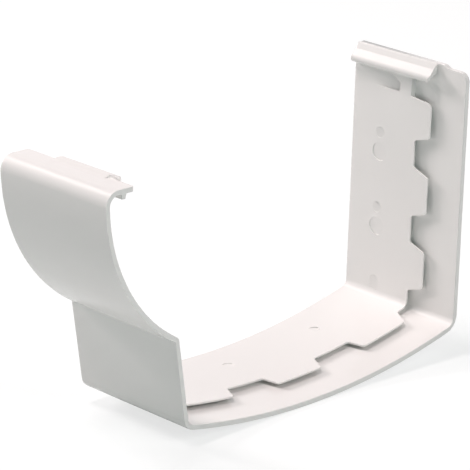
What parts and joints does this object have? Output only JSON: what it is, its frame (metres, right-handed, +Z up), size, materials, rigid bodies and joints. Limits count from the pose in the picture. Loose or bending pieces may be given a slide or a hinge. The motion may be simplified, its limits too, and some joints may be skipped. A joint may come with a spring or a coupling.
{
  "type": "gutter union",
  "caption": "Open one-piece plastic union for a moulded rainwater gutter: front round with a flange, curved belly, upright back with a hook, and a notched inner tongue.",
  "frame": {"origin": "middle of the length and of the width, at the lowest point of the belly", "axes": "+Z up, +X from the front round to the fascia side, Y along the gutter"},
  "size_m": [0.1406, 0.0426, 0.0876],
  "materials": {
    "white_plastic": "smooth moulded white with a soft gloss"
  },
  "bodies": {
    "root": {"gutter_union": "white_plastic"}
  },
  "joints": []
}
